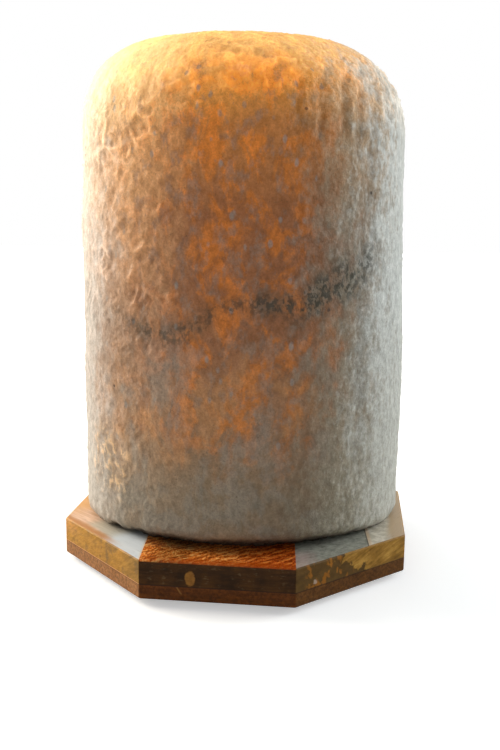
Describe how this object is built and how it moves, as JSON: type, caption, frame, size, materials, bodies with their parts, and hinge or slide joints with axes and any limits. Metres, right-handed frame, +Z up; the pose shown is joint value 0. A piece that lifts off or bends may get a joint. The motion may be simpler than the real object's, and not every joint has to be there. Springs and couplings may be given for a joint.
{
  "type": "salt crystal lamp",
  "caption": "Glowing hewn rock salt block on an octagonal base of glued planks, lit from its bore by a small screw-in bulb in a clip-held lampholder.",
  "frame": {"origin": "middle of the octagonal base, at the underside of its rubber feet", "axes": "+Z up along the bore, -Y towards the front flat of the octagon, +X to the right seen from the front"},
  "size_m": [0.133, 0.133, 0.201],
  "materials": {
    "salt": "rough hewn, slightly translucent, warm glow",
    "left_wood": "varnished",
    "middle_wood": "varnished",
    "right_wood": "varnished",
    "far_wood": "varnished",
    "board_wood": "varnished",
    "foot_rubber": "matte",
    "screw_steel": "zinc plated",
    "plug_plastic": "moulded",
    "clip_steel": "spring steel",
    "nut_brass": "turned",
    "holder_plastic": "moulded",
    "holder_ceramic": "unglazed",
    "contact_brass": "pressed",
    "solder": "solder",
    "black_glass": "black glass",
    "bulb_glass": "clear glass",
    "stem_glass": "pressed glass",
    "wire": "nickel wire",
    "filament": "glowing tungsten"
  },
  "bodies": {
    "lamp_base": {"salt_block": "salt", "plank_left": "left_wood", "plank_middle": "middle_wood", "plank_right": "right_wood", "plank_far_right": "far_wood", "lower_board": "board_wood", "foot_rear_right": "foot_rubber", "foot_rear_left": "foot_rubber", "foot_front_left": "foot_rubber", "foot_front_right": "foot_rubber", "salt_screws": "screw_steel", "board_screws": "screw_steel", "salt_plugs": "plug_plastic"},
    "lampholder": {"spring_clip": "clip_steel", "clip_nut": "nut_brass", "cord_bush": "nut_brass", "holder_cap": "holder_plastic", "holder_shell": "holder_plastic", "holder_insert": "holder_ceramic", "screw_shell": "contact_brass", "centre_contact": "contact_brass", "neutral_terminal": "contact_brass", "live_terminal": "contact_brass", "terminal_screws": "screw_steel", "contact_rivets": "contact_brass"},
    "bulb_tip": {"bulb_contact": "solder"},
    "bulb": {"cap_insulator": "black_glass", "bulb_cap": "contact_brass", "bulb_glass": "bulb_glass", "bulb_stem": "stem_glass", "lead_wires": "wire", "bulb_filament": "filament"}
  },
  "joints": [
    {"name": "holder_pull", "type": "slide", "parent": "lamp_base", "child": "lampholder", "axis": [0, 0, -1], "range_m": [0, 0.095]},
    {"name": "bulb_travel", "type": "slide", "parent": "lampholder", "child": "bulb_tip", "axis": [0, 0, 1], "range_m": [0, 0.0086]},
    {"name": "bulb_turn", "type": "hinge", "parent": "bulb_tip", "child": "bulb", "pos_m": [0, 0, 0.0437], "axis": [0, 0, 1], "range_deg": [0, 1080]}
  ],
  "couplings": [
    {"joint": "bulb_travel", "follows": "bulb_turn", "m_per_rad": 0.00044882}
  ]
}
